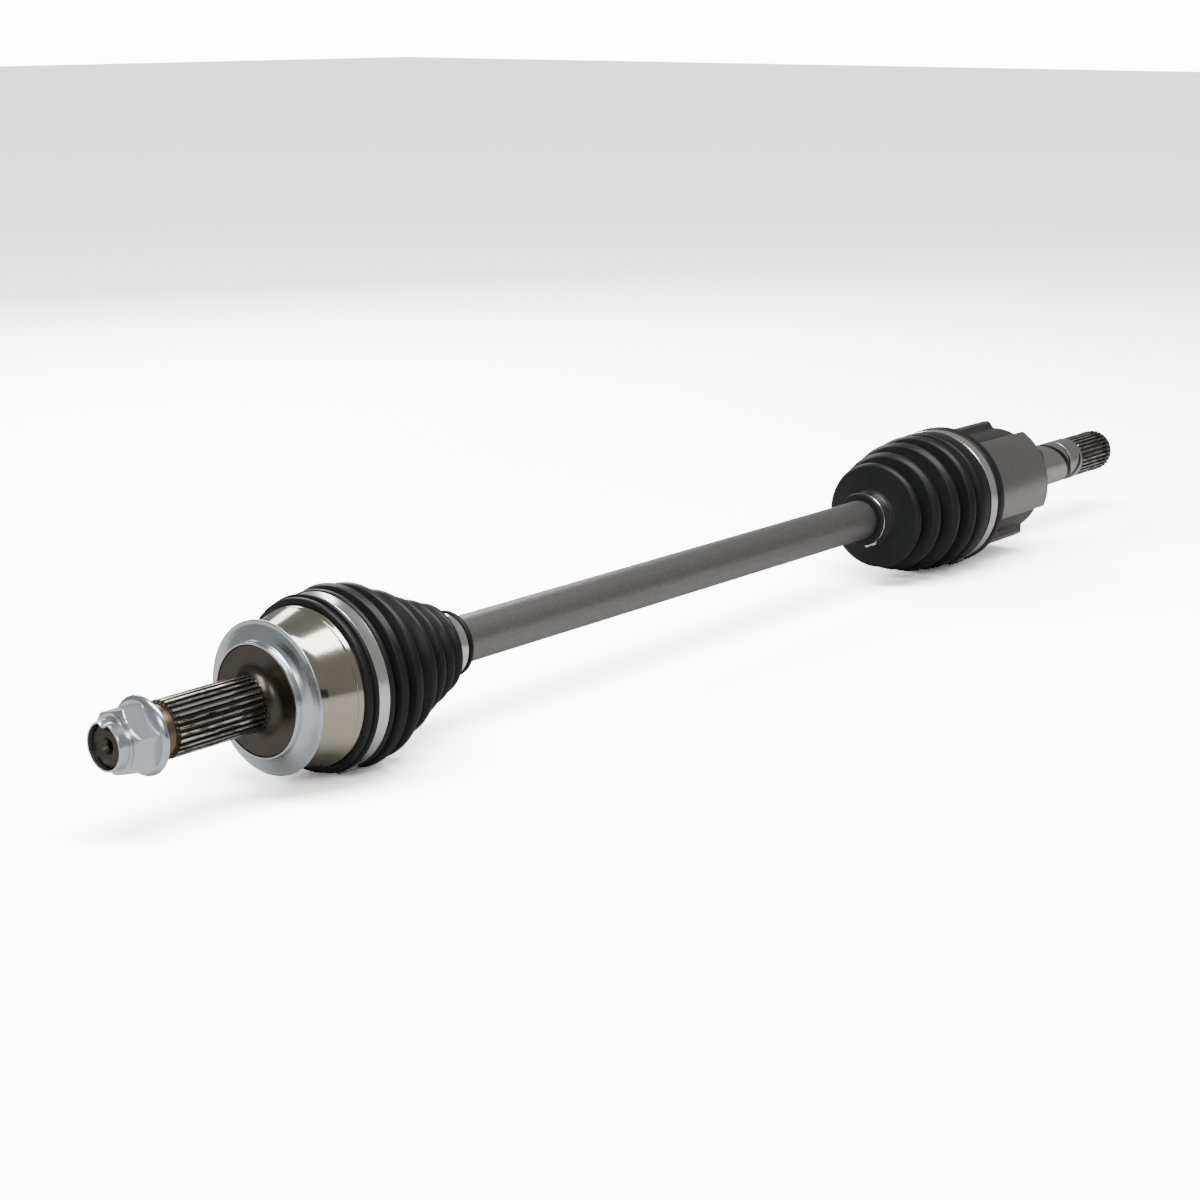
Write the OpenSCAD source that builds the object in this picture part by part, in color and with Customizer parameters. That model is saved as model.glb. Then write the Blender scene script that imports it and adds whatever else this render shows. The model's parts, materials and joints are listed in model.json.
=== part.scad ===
// Front-wheel-drive half shaft: a six-ball wheel joint, a solid bar and a
// plunging three-roller joint, each joint sealed by a clamped rubber boot.
// The axle lies along +X, from the wheel hub's splines to the gearbox's.
// The origin is on the axle's axis, in the face that the wheel hub seats on.

/* [Overall] */
// Hub seat face to the centre of the wheel joint
wheel_joint_x = 38; // [36:0.5:48]
// Distance between the centres of the two joints
joint_span = 614; // [500:1:900]
// Diameter of the bar between the boots
bar_d = 26; // [22:0.5:31]
// Outer diameter of the splines on both ends of the bar
bar_spline_d = 25; // [21:0.5:30]

/* [Wheel joint] */
// Diameter of each ball
ball_d = 15.2; // [12.5:0.1:15.3]
// Radius of the circle that the ball centres lie on
ball_pitch_r = 28.5; // [28.5:0.5:36]
// Wall of the bell outside its ball tracks
bell_wall = 6.55; // [5:0.05:10]
// Joint centre to the rim of the bell's mouth
bell_reach = 11; // [9:0.5:15]
// Half width of the inner race, along the axle
race_half_w = 12; // [10:0.5:14]
// Half width of the ball cage, along the axle
cage_half_w = 12; // [10:0.5:14]
// Depth of the ball tracks' offset, which widens them for the angled joint
track_offset = 3.2; // [1.5:0.1:3.6]

/* [Hub stub] */
// Outer diameter of the hub splines
hub_spline_d = 29.2; // [26:0.1:32]
// Number of hub spline teeth
hub_teeth = 28; // [20:1:36]
// Hub seat face to the outer end of the splines
hub_spline_end = 60.7; // [40:0.1:75]
// Hub seat face to the nut's bearing flange
hub_clamp_length = 70.2; // [60:0.1:85]
// Major diameter of the hub thread
hub_thread_d = 22; // [18:1:24]
// Length of thread past the nut's bearing flange
hub_thread_len = 21.1; // [19:0.1:30]
// Diameter of the shoulder that the hub seats on
hub_shoulder_d = 56.8; // [48:0.2:60]
// Outer diameter of the pressed dust ring
dust_ring_d = 79.2; // [70:0.2:90]

/* [Axle nut] */
// Width of the nut across its flats
nut_across_flats = 30; // [27:1:36]
// Length of the hexagon
nut_hex_len = 14; // [10:0.5:18]
// Diameter of the nut's flange
nut_flange_d = 39.2; // [36:0.2:46]
// Thickness of the nut's flange
nut_flange_t = 3.1; // [2.5:0.1:5]
// Length of the thin collar that is staked into the stub's groove
nut_collar_len = 6.3; // [4:0.1:8]

/* [Gearbox joint] */
// Radius from the axis to each roller's centre
roller_pitch_r = 26; // [25:0.5:32]
// Diameter of each roller
roller_d = 26; // [22:0.5:28]
// Height of each roller, along its trunnion
roller_h = 13; // [11:0.5:14]
// Diameter of the three trunnions
trunnion_d = 15; // [12:0.5:16]
// Diameter of each needle
needle_d = 2.4; // [2:0.1:2.6]
// Number of needles on each trunnion
needle_count = 20; // [14:1:20]
// Wall of the housing outside its roller tracks
housing_wall = 7.5; // [6:0.1:10]
// Roller centre to the housing's open mouth
housing_mouth = 34; // [32:0.5:40]
// Roller centre to the bottom of the roller tracks
track_depth = 44; // [42:0.5:60]
// Thickness of the housing's end wall
housing_floor = 15.5; // [8:0.5:20]
// Depth of the three valleys in the housing's outside
valley_depth = 6; // [3:0.5:9]
// Angle that each lobe of the housing spans
lobe_angle = 78; // [66:1:84]
// Turn of the first lobe about the axle
lobe_start = 21; // [-60:1:60]

/* [Gearbox stub] */
// Diameter of the bearing journal
journal_d = 30.4; // [26:0.1:34]
// Length of the bearing journal
journal_len = 100.5; // [60:0.5:120]
// Length of the gearbox splines
gear_spline_len = 47.5; // [35:0.5:60]
// Outer diameter of the gearbox splines
gear_spline_d = 29.8; // [25:0.1:33]
// Number of gearbox spline teeth
gear_teeth = 30; // [20:1:36]

/* [Boots] */
// Rubber thickness of both boots
boot_wall = 2; // [1.6:0.1:2.6]
// Bell mouth to the wheel boot's neck
wheel_boot_len = 78; // [65:1:95]
// Housing mouth to the gearbox boot's neck
gearbox_boot_len = 71; // [60:1:90]
// Rubber wall under the small clamps
neck_wall = 3; // [2.4:0.1:4]
// Width of the wheel joint's big clamp
wheel_clamp_w = 7.5; // [6:0.5:10]
// Width of the gearbox joint's big clamp
gearbox_clamp_w = 8; // [6:0.5:10]
// Width of both small clamps
small_clamp_w = 7; // [5:0.5:9]
// Thickness of the clamps' steel band
clamp_t = 0.9; // [0.6:0.1:1.2]

/* [Fits] */
// Gap between a ball or roller and its track
track_gap = 0.35; // [0.15:0.05:0.4]
// Gap between two ball-shaped faces, such as the cage's and the bell's
sphere_gap = 0.3; // [0.2:0.05:0.4]
// Gap between rubber and the metal that it seals on
seal_gap = 0.3; // [0.2:0.05:0.5]
// Gap at splines, threads and pressed rings
fit_gap = 0.05; // [0.02:0.01:0.1]
// Thickness of the circlips
clip_t = 1.6; // [1.2:0.1:2]
// Depth of the circlip grooves
clip_depth = 1.2; // [0.8:0.1:1.5]

/* [Hidden] */
$fn = 96;

bright_steel = "#b9b6ae";
dark_steel = "#5d5a54";
zinc = "#c9ced2";
black_rubber = "#1c1c1d";
stainless = "#d8d6d0";

// Wheel joint, measured from its centre
ball_r = ball_d / 2;
groove_r = ball_r + track_gap + track_offset;
track_outer_r = ball_pitch_r + ball_r + track_gap;
bell_r = track_outer_r + bell_wall;
race_sphere_r = ball_pitch_r - 2.5;
cage_inner_r = race_sphere_r + sphere_gap;
cage_outer_r = ball_pitch_r + 2.1;
bell_cavity_r = cage_outer_r + sphere_gap;
window_r = ball_r + sphere_gap;
track_reach = 34;
track_back = 38;
bell_mouth_x = wheel_joint_x + bell_reach;
mouth_chamfer = 1.6;

// Hub stub
hub_spline_r = hub_spline_d / 2;
hub_spline_root_r = hub_spline_r - 1.2;
hub_shank_r = hub_spline_root_r - 0.6;
hub_thread_r = hub_thread_d / 2;
hub_shoulder_r = hub_shoulder_d / 2;
shoulder_bevel = 0.5;
shoulder_fillet = 6;
stub_end_x = -hub_clamp_length - hub_thread_len;
centre_hole_r = 2.4;
centre_sink_r = 4.3;
centre_depth = 8;
stake_w = 5;
stake_depth = 2.5;
stake_len = 12;

// Dust ring and the bell's outline behind it
dust_t = 1.2;
dust_neck_len = 3.5;
dust_face_x = 6.3;
bell_root_x = dust_face_x + dust_t + 1.2;
bell_root_r = hub_shoulder_r + 2.6;
bell_step_x = bell_root_x + 5.3;
bell_step_r = bell_root_r + 0.38 * (bell_r - bell_root_r);
bell_crease_x = bell_mouth_x - 19;
bell_crease_r = bell_r - 2;
bell_band_x = bell_mouth_x - 13.5;
bell_band_r = bell_r - 0.4;

// Bar, with both splined ends
bar_r = bar_d / 2;
bar_spline_r = bar_spline_d / 2;
bar_spline_root_r = bar_spline_r - 0.8;
bar_teeth = 26;
clip_land = 1.6;
bar_start_x = wheel_joint_x - race_half_w - fit_gap - clip_t - clip_land;
race_side_x = wheel_joint_x + race_half_w + fit_gap;
spider_x = wheel_joint_x + joint_span;
spider_half_w = 10;
spider_side_x = spider_x - spider_half_w - fit_gap;
bar_end_x = spider_x + spider_half_w + fit_gap + clip_t + clip_land;
stop_ring_r = bar_spline_r + 2.6;
clip_ring_r = bar_spline_r + 1.7;

// Gearbox joint
roller_r = roller_d / 2;
channel_half_w = roller_r + 1.2;
channel_r = roller_pitch_r + roller_h / 2 + 2.5;
lobe_r = channel_r + housing_wall;
valley_r = lobe_r - valley_depth;
scallop_x = (lobe_r * lobe_r - valley_r * valley_r)
    / 2 / (lobe_r * cos(60 - lobe_angle / 2) - valley_r);
scallop_r = scallop_x - valley_r;
hub_r = roller_pitch_r - roller_h / 2 - 2;
housing_bore_r = roller_pitch_r - 0.5;
housing_x = spider_x - housing_mouth;
housing_floor_x = spider_x + track_depth;
housing_end_x = housing_floor_x + housing_floor;
housing_chamfer = 2;
housing_flare_r = housing_bore_r + 5.8;
housing_flare_len = 20;
trunnion_r = trunnion_d / 2;
needle_r = needle_d / 2;
needle_pitch_r = trunnion_r + needle_r + 2 * fit_gap;
needle_len = roller_h - 2;
roller_bore_r = needle_pitch_r + needle_r + 2 * fit_gap;
roller_ring_t = 0.8;
roller_ring_x = roller_pitch_r + needle_len / 2 + 0.2;
trunnion_end_r = roller_ring_x + roller_ring_t + 0.7;

// Gearbox stub
journal_r = journal_d / 2;
journal_end_x = housing_end_x + journal_len;
axle_end_x = journal_end_x + gear_spline_len;
gear_spline_r = gear_spline_d / 2;
gear_spline_root_r = gear_spline_r - 1;
oil_ring_x = journal_end_x - 20;
stub_clip_x = axle_end_x - 10;

// Boots: each fold is [share of the boot's length from its housing, share of
// its height above the neck]
lip_h = 1.3;
neck_r = bar_r + seal_gap + neck_wall;
wheel_seat_r = bell_r + seal_gap + 1.4;
wheel_crest_r = bell_r + 4;
wheel_lip_x = bell_band_x;
wheel_clamp_x = bell_mouth_x - 9.5;
wheel_neck_x = bell_mouth_x + wheel_boot_len;
wheel_folds = [
    [0.035, 0.94], [0.087, 1], [0.167, 0.82], [0.256, 0.95], [0.372, 0.59],
    [0.474, 0.72], [0.564, 0.43], [0.641, 0.53], [0.712, 0.33],
    [0.782, 0.4], [0.853, 0.22], [0.917, 0.28]
];
adapter_wall = 1.2;
adapter_len = 22;
adapter_r = lobe_r + seal_gap + adapter_wall;
gearbox_seat_r = adapter_r + seal_gap + boot_wall - 0.3;
gearbox_lip_x = housing_x + adapter_len + 1.5;
gearbox_clamp_x = gearbox_lip_x - 16.5;
gearbox_neck_x = housing_x - gearbox_boot_len;
gearbox_folds = [
    [0.085, 0.92], [0.169, 1], [0.282, 0.78], [0.394, 0.91], [0.535, 0.63],
    [0.648, 0.78], [0.775, 0.46], [0.873, 0.64], [0.915, 0.56]
];
ear_w = 7;
ear_h = 3.2;
ear_turn = -22;

// Revolves an outline of [distance along the axle, radius] points
module turned(outline)
    rotate([0, 90, 0]) rotate_extrude() polygon([for (p = outline) [p[1], p[0]]]);

// A solid rod along the axle
module rod(from, to, r)
    translate([from, 0, 0]) rotate([0, 90, 0]) cylinder(h = to - from, r = r);

// A sphere with its poles on the axle
module polar_sphere(r) rotate([0, 90, 0]) sphere(r);

// A ring along the axle
module ring(from, to, outer_r, inner_r)
    difference() {
        rod(from, to, outer_r);
        rod(from - 1, to + 1, inner_r);
    }

// Turns what stands along +Z to the given azimuth about the axle
module at_azimuth(angle) rotate([angle - 90, 0, 0]) children();

// Points on a circular arc, from one angle to another
function arc(x, r, radius, from, to, steps = 6) =
    [for (i = [0:steps]) let (a = from + (to - from) * i / steps)
        [x + radius * cos(a), r + radius * sin(a)]];

function spline_outline(r, root_r, teeth) =
    [for (i = [0:teeth - 1]) for (c = [[-0.3, root_r], [-0.17, r], [0.17, r], [0.3, root_r]])
        let (a = 360 * (i + c[0]) / teeth) [c[1] * cos(a), c[1] * sin(a)]];

module splines(from, to, r, root_r, teeth)
    translate([from, 0, 0]) rotate([0, 90, 0])
        linear_extrude(to - from) polygon(spline_outline(r, root_r, teeth));

// An open circlip or snap ring, gap upwards
module circlip(x, t, outer_r, inner_r)
    difference() {
        ring(x, x + t, outer_r, inner_r);
        translate([x - 1, -1.5, 0]) cube([t + 2, 3, outer_r + 1]);
    }

module ball_seat(azimuth)
    translate([wheel_joint_x, 0, 0]) at_azimuth(azimuth)
        translate([0, 0, ball_pitch_r]) children();

module ball(number) color(bright_steel) ball_seat(150 - 60 * number) sphere(ball_r);

// Six curved ball tracks about the joint's centre, each reaching from
// track_reach towards the bell's mouth to track_back away from it, in degrees
module ball_tracks(centre_r)
    for (n = [0:5]) at_azimuth(60 * n + 30)
        rotate([90, 0, 0]) rotate(90 - track_reach)
            rotate_extrude(angle = track_reach + track_back)
                translate([centre_r, 0]) circle(groove_r);

module outer_race() color(bright_steel) {
    difference() {
        union() {
            turned(concat(
                [[stub_end_x, 0], [stub_end_x, hub_thread_r - 1.2],
                 [stub_end_x + 1.2, hub_thread_r], [-hub_clamp_length + 0.4, hub_thread_r],
                 [-hub_clamp_length + 0.4, hub_shank_r],
                 [-shoulder_fillet, hub_shank_r]],
                arc(-shoulder_fillet, hub_spline_root_r + 0.6 + shoulder_fillet,
                    shoulder_fillet, -90, 0),
                [[0, hub_shoulder_r - shoulder_bevel], [shoulder_bevel, hub_shoulder_r],
                 [bell_root_x, hub_shoulder_r], [bell_root_x, bell_root_r],
                 [bell_root_x + 1.8, bell_root_r + 0.5 * (bell_step_r - bell_root_r)],
                 [bell_step_x, bell_step_r], [bell_crease_x, bell_crease_r],
                 [bell_band_x, bell_band_r], [bell_band_x + 1, bell_r],
                 [bell_mouth_x - 0.8, bell_r], [bell_mouth_x, bell_r - 0.8],
                 [bell_mouth_x, 0]]));
            intersection() {
                splines(-hub_spline_end, -shoulder_fillet + 0.5, hub_spline_r,
                    hub_spline_root_r, hub_teeth);
                turned([[-hub_spline_end - 1, 0], [-hub_spline_end - 1, hub_spline_root_r - 0.8],
                    [-hub_spline_end + 1.2, hub_spline_r + 0.1], [0, hub_spline_r + 0.1],
                    [0, 0]]);
            }
        }
        translate([wheel_joint_x, 0, 0]) {
            polar_sphere(bell_cavity_r);
            ball_tracks(ball_pitch_r - track_offset);
        }
        turned([[bell_mouth_x - mouth_chamfer, 0],
            [bell_mouth_x - mouth_chamfer, bell_cavity_r - 2],
            [bell_mouth_x + 1, bell_cavity_r + 0.6], [bell_mouth_x + 1, 0]]);
        turned([[stub_end_x - 1, 0], [stub_end_x - 1, centre_sink_r + 1],
            [stub_end_x + centre_sink_r - centre_hole_r, centre_hole_r],
            [stub_end_x + centre_depth, centre_hole_r],
            [stub_end_x + centre_depth + 1.4, 0]]);
        translate([stub_end_x - 1, -stake_w / 2, hub_thread_r - stake_depth])
            cube([stake_len + 1, stake_w, stake_depth + 1]);
    }
}

module axle_nut() color(zinc) {
    flange_x = -hub_clamp_length - nut_flange_t;
    hex_x = flange_x - nut_hex_len;
    corner_r = nut_across_flats / 2 / cos(30);
    difference() {
        union() {
            intersection() {
                translate([hex_x, 0, 0]) rotate([0, 90, 0]) rotate([0, 0, 15])
                    cylinder(h = nut_hex_len + 1, r = corner_r, $fn = 6);
                turned([[hex_x, 0], [hex_x, nut_across_flats / 2 - 0.4],
                    [hex_x + 1.6, corner_r + 0.2], [hex_x + nut_hex_len + 1, corner_r + 0.2],
                    [hex_x + nut_hex_len + 1, 0]]);
            }
            turned([[flange_x, 0], [flange_x, nut_flange_d / 2 - 2.4],
                [flange_x + 1.6, nut_flange_d / 2], [-hub_clamp_length, nut_flange_d / 2],
                [-hub_clamp_length, 0]]);
            rod(hex_x - nut_collar_len, hex_x + 1, hub_thread_r + 1.3);
        }
        rod(hex_x - nut_collar_len - 1, -hub_clamp_length + 1, hub_thread_r + fit_gap);
    }
}

module dust_ring() color(zinc) {
    inner_r = hub_shoulder_r + fit_gap;
    rim_r = dust_ring_d / 2;
    turned([[-0.3, inner_r], [-0.3, inner_r + dust_t],
        [dust_neck_len, inner_r + dust_t + 0.3], [dust_face_x - 1.2, inner_r + 3.6],
        [dust_face_x, rim_r - 2], [dust_face_x, rim_r], [dust_face_x + dust_t, rim_r],
        [dust_face_x + dust_t, rim_r - 2.1],
        [dust_face_x + 0.2, inner_r + 2.7], [dust_neck_len + 0.8, inner_r]]);
}

module ball_cage() color(dark_steel) translate([wheel_joint_x, 0, 0]) difference() {
    intersection() {
        polar_sphere(cage_outer_r);
        rod(-cage_half_w, cage_half_w, cage_outer_r + 1);
    }
    polar_sphere(cage_inner_r);
    for (n = [0:5]) at_azimuth(60 * n + 30) cylinder(h = cage_outer_r + 1, r = window_r);
}

module inner_race() color(bright_steel) translate([wheel_joint_x, 0, 0]) difference() {
    intersection() {
        polar_sphere(race_sphere_r);
        rod(-race_half_w, race_half_w, race_sphere_r + 1);
    }
    ball_tracks(ball_pitch_r + track_offset);
    splines(-race_half_w - 1, race_half_w + 1, bar_spline_r + fit_gap,
        bar_spline_root_r + fit_gap, bar_teeth);
}

module race_clip() color(dark_steel)
    circlip(wheel_joint_x - race_half_w - fit_gap - clip_t, clip_t, clip_ring_r,
        bar_spline_r - clip_depth + fit_gap);

module race_stop_ring() color(dark_steel)
    ring(race_side_x, race_side_x + clip_t, stop_ring_r, bar_spline_r + fit_gap);

module axle_bar() color(dark_steel) difference() {
    shoulder_x = race_side_x + clip_t + fit_gap;
    shoulder_end_x = spider_side_x - clip_t - fit_gap;
    union() {
        turned([[bar_start_x + 1, 0], [bar_start_x + 1, bar_spline_root_r - 1],
            [shoulder_x, bar_spline_root_r - 1], [shoulder_x, bar_r],
            [shoulder_end_x, bar_r], [shoulder_end_x, bar_spline_root_r - 1],
            [bar_end_x - 1, bar_spline_root_r - 1], [bar_end_x - 1, 0]]);
        splines(bar_start_x, shoulder_x + 1, bar_spline_r, bar_spline_root_r, bar_teeth);
        splines(shoulder_end_x - 1, bar_end_x, bar_spline_r, bar_spline_root_r, bar_teeth);
    }
    for (x = [wheel_joint_x - race_half_w - clip_t - 1.5 * fit_gap,
              spider_x + spider_half_w + fit_gap / 2])
        ring(x, x + clip_t + fit_gap, bar_spline_r + 1, bar_spline_r - clip_depth);
}

// The folds of a boot: its outside from the housing to the neck, and its
// inside back again. dir is +1 where the neck lies towards +X.
function folds(list, mouth_x, len, crest_r, dir, inset) =
    [for (p = list) [mouth_x + dir * (p[0] * len - inset / 2),
        neck_r + p[1] * (crest_r - neck_r) - inset]];

function backwards(list) = [for (i = [len(list) - 1:-1:0]) list[i]];

module wheel_boot() color(black_rubber) {
    seat_in = bell_r + seal_gap;
    neck_end_x = wheel_neck_x + small_clamp_w + 2;
    lip_r = wheel_seat_r + lip_h;
    turned(concat(
        [[wheel_lip_x + 1, seat_in], [wheel_lip_x + 0.6, wheel_seat_r],
         [wheel_lip_x + 1.6, lip_r], [wheel_clamp_x - 0.8, lip_r],
         [wheel_clamp_x - 0.2, wheel_seat_r],
         [wheel_clamp_x + wheel_clamp_w + 0.2, wheel_seat_r],
         [wheel_clamp_x + wheel_clamp_w + 1, lip_r],
         [bell_mouth_x + 0.6, lip_r]],
        folds(wheel_folds, bell_mouth_x, wheel_boot_len, wheel_crest_r, 1, 0),
        [[wheel_neck_x - 1.5, neck_r + 1.2], [wheel_neck_x, neck_r],
         [neck_end_x - 0.8, neck_r], [neck_end_x, neck_r + 1.6],
         [neck_end_x + 2, neck_r + 1.2], [neck_end_x + 2, bar_r + seal_gap],
         [wheel_neck_x - 2, bar_r + seal_gap]],
        backwards(folds(wheel_folds, bell_mouth_x, wheel_boot_len, wheel_crest_r, 1, boot_wall)),
        [[bell_mouth_x + 1, seat_in]]));
}

module gearbox_boot() color(black_rubber) {
    seat_in = adapter_r + seal_gap;
    neck_end_x = gearbox_neck_x - small_clamp_w - 4;
    lip_r = gearbox_seat_r + lip_h;
    turned(concat(
        [[gearbox_lip_x, seat_in], [gearbox_lip_x, lip_r - 0.6], [gearbox_lip_x - 1, lip_r],
         [gearbox_clamp_x + gearbox_clamp_w + 1, lip_r],
         [gearbox_clamp_x + gearbox_clamp_w + 0.2, gearbox_seat_r],
         [gearbox_clamp_x - 0.2, gearbox_seat_r], [housing_x, gearbox_seat_r]],
        folds(gearbox_folds, housing_x, gearbox_boot_len, gearbox_seat_r, -1, 0),
        [[gearbox_neck_x + 1.5, neck_r + 1.2], [gearbox_neck_x, neck_r],
         [neck_end_x + 3, neck_r], [neck_end_x + 2.4, neck_r + 0.9],
         [neck_end_x, neck_r + 0.9], [neck_end_x, bar_r + seal_gap],
         [gearbox_neck_x + 2, bar_r + seal_gap]],
        backwards(folds(gearbox_folds, housing_x, gearbox_boot_len, gearbox_seat_r, -1,
            boot_wall)),
        [[housing_x - 1, seat_in]]));
}

// A boot clamp: a band with its crimped ear, drawn end-on and extruded
module boot_clamp(x, w, seat_r) {
    band_r = seat_r + fit_gap + clamp_t;
    along_axle(x, x + w) difference() {
        union() {
            circle(band_r);
            rotate(ear_turn) translate([-ear_w / 2, -band_r - ear_h])
                square([ear_w, ear_h + 2 * clamp_t]);
        }
        circle(seat_r + fit_gap);
        rotate(ear_turn) translate([clamp_t - ear_w / 2, -band_r - ear_h + clamp_t])
            square([ear_w - 2 * clamp_t, ear_h - 1.6 * clamp_t]);
    }
}

module wheel_boot_big_clamp() color(stainless)
    boot_clamp(wheel_clamp_x, wheel_clamp_w, wheel_seat_r);

module wheel_boot_small_clamp() color(stainless)
    boot_clamp(wheel_neck_x + 0.5, small_clamp_w, neck_r);

module gearbox_boot_big_clamp() color(stainless)
    boot_clamp(gearbox_clamp_x, gearbox_clamp_w, gearbox_seat_r);

module gearbox_boot_small_clamp() color(stainless)
    boot_clamp(gearbox_neck_x - small_clamp_w - 0.5, small_clamp_w, neck_r);

// Azimuth of each lobe, trunnion and roller about the axle
function lobe_azimuth(number) = 180 - lobe_start - 120 * (number - 1);

// The housing's three-lobed outline, grown by a clearance
module lobed(grow)
    difference() {
        circle(lobe_r + grow);
        for (n = [1:3]) rotate(lobe_azimuth(n) + 60) translate([scallop_x, 0])
            circle(scallop_r - grow, $fn = 128);
    }

// Stands a flat outline, drawn as seen from the gearbox end, along the axle
module along_axle(from, to)
    translate([from, 0, 0]) rotate([90, 0, 90]) linear_extrude(to - from) children();

module boot_adapter() color(black_rubber)
    along_axle(housing_x + 0.3, housing_x + adapter_len) difference() {
        circle(adapter_r);
        lobed(seal_gap);
    }

module tripod_housing() color(dark_steel) difference() {
    union() {
        intersection() {
            along_axle(housing_x, housing_end_x) lobed(0);
            turned([[housing_x - 1, 0], [housing_x - 1, lobe_r + 1],
                [housing_end_x - housing_chamfer, lobe_r + 0.2],
                [housing_end_x + 0.5, lobe_r - housing_chamfer - 0.5], [housing_end_x + 0.5, 0]]);
        }
        turned([[housing_end_x - 2, 0], [housing_end_x - 2, journal_r + 2.5],
            [housing_end_x + 0.6, journal_r + 2.5], [housing_end_x + 2.6, journal_r],
            [oil_ring_x - 1.2, journal_r], [oil_ring_x - 0.8, journal_r - 0.7],
            [oil_ring_x + 0.8, journal_r - 0.7], [oil_ring_x + 1.2, journal_r],
            [journal_end_x - 1, journal_r], [journal_end_x, journal_r - 1],
            [journal_end_x, gear_spline_root_r - 0.8],
            [axle_end_x - 1.5, gear_spline_root_r - 0.8], [axle_end_x - 1.5, 0]]);
        intersection() {
            splines(journal_end_x - 1, axle_end_x, gear_spline_r, gear_spline_root_r, gear_teeth);
            turned([[journal_end_x - 2, 0], [journal_end_x - 2, gear_spline_r - 0.6],
                [journal_end_x + 0.6, gear_spline_r - 0.6],
                [journal_end_x + 1.4, gear_spline_r + 0.1],
                [axle_end_x - 2.5, gear_spline_r + 0.1],
                [axle_end_x + 0.5, gear_spline_root_r - 1.2], [axle_end_x + 0.5, 0]]);
        }
    }
    rod(housing_x - 1, housing_floor_x, housing_bore_r);
    turned([[housing_x - 1, 0], [housing_x - 1, housing_flare_r],
        [housing_x + housing_flare_len, housing_bore_r - 0.5],
        [housing_x + housing_flare_len, 0]]);
    for (n = [1:3]) at_azimuth(lobe_azimuth(n))
        translate([housing_x - 1, -channel_half_w, 0])
            cube([housing_floor_x - housing_x + 1, 2 * channel_half_w, channel_r]);
    ring(stub_clip_x - fit_gap / 2, stub_clip_x + clip_t + fit_gap / 2, gear_spline_r + 1,
        gear_spline_r - clip_depth - 0.6);
}

module stub_clip() color(dark_steel)
    circlip(stub_clip_x, clip_t, journal_r - 0.1, gear_spline_r - clip_depth - 0.6 + fit_gap);

// Stands a roller part on its trunnion, at the roller's centre
module on_trunnion(number)
    translate([spider_x, 0, 0]) at_azimuth(lobe_azimuth(number))
        translate([0, 0, roller_pitch_r]) children();

module spider() color(bright_steel) difference() {
    union() {
        turned([[spider_x - spider_half_w, 0], [spider_x - spider_half_w, hub_r - 1],
            [spider_x - spider_half_w + 1, hub_r], [spider_x + spider_half_w - 1, hub_r],
            [spider_x + spider_half_w, hub_r - 1], [spider_x + spider_half_w, 0]]);
        for (n = [1:3]) on_trunnion(n) translate([0, 0, -roller_pitch_r])
            cylinder(h = trunnion_end_r, r = trunnion_r);
    }
    splines(spider_x - spider_half_w - 1, spider_x + spider_half_w + 1,
        bar_spline_r + fit_gap, bar_spline_root_r + fit_gap, bar_teeth);
    for (n = [1:3]) on_trunnion(n)
        translate([0, 0, roller_ring_x - roller_pitch_r - fit_gap / 2]) difference() {
            cylinder(h = roller_ring_t + fit_gap, r = trunnion_r + 1);
            translate([0, 0, -1]) cylinder(h = roller_ring_t + 3, r = trunnion_r - 0.6);
        }
}

module spider_clip() color(dark_steel)
    circlip(spider_x + spider_half_w + fit_gap, clip_t, clip_ring_r,
        bar_spline_r - clip_depth + fit_gap);

module spider_stop_ring() color(dark_steel)
    ring(spider_side_x - clip_t, spider_side_x, stop_ring_r, bar_spline_r + fit_gap);

module roller(number) color(bright_steel) on_trunnion(number) difference() {
    intersection() {
        sphere(roller_r);
        translate([0, 0, -roller_h / 2]) cylinder(h = roller_h, r = roller_r + 1);
    }
    translate([0, 0, -roller_h]) cylinder(h = 2 * roller_h, r = roller_bore_r);
}

module needles(number) color(bright_steel) on_trunnion(number)
    for (i = [0:needle_count - 1]) rotate(360 * i / needle_count)
        translate([needle_pitch_r, 0, -needle_len / 2]) cylinder(h = needle_len, r = needle_r);

module roller_ring(number) color(dark_steel) on_trunnion(number)
    translate([0, 0, roller_ring_x - roller_pitch_r]) difference() {
        cylinder(h = roller_ring_t, r = roller_bore_r - 0.2);
        translate([0, 0, -1]) cylinder(h = roller_ring_t + 2, r = trunnion_r - 0.6 + fit_gap);
    }

axle_nut();
outer_race();
dust_ring();
ball_cage();
inner_race();
ball(1);  // ball_1
ball(2);  // ball_2
ball(3);  // ball_3
ball(4);  // ball_4
ball(5);  // ball_5
ball(6);  // ball_6
race_clip();
race_stop_ring();
wheel_boot();
wheel_boot_big_clamp();
wheel_boot_small_clamp();
axle_bar();
gearbox_boot();
gearbox_boot_big_clamp();
gearbox_boot_small_clamp();
boot_adapter();
tripod_housing();
stub_clip();
spider();
spider_clip();
spider_stop_ring();
roller(1);  // roller_1
roller(2);  // roller_2
roller(3);  // roller_3
needles(1);  // needles_1
needles(2);  // needles_2
needles(3);  // needles_3
roller_ring(1);  // roller_ring_1
roller_ring(2);  // roller_ring_2
roller_ring(3);  // roller_ring_3
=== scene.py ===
"""A front half shaft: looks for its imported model, laid out as an add-on."""

import json
import math

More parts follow.
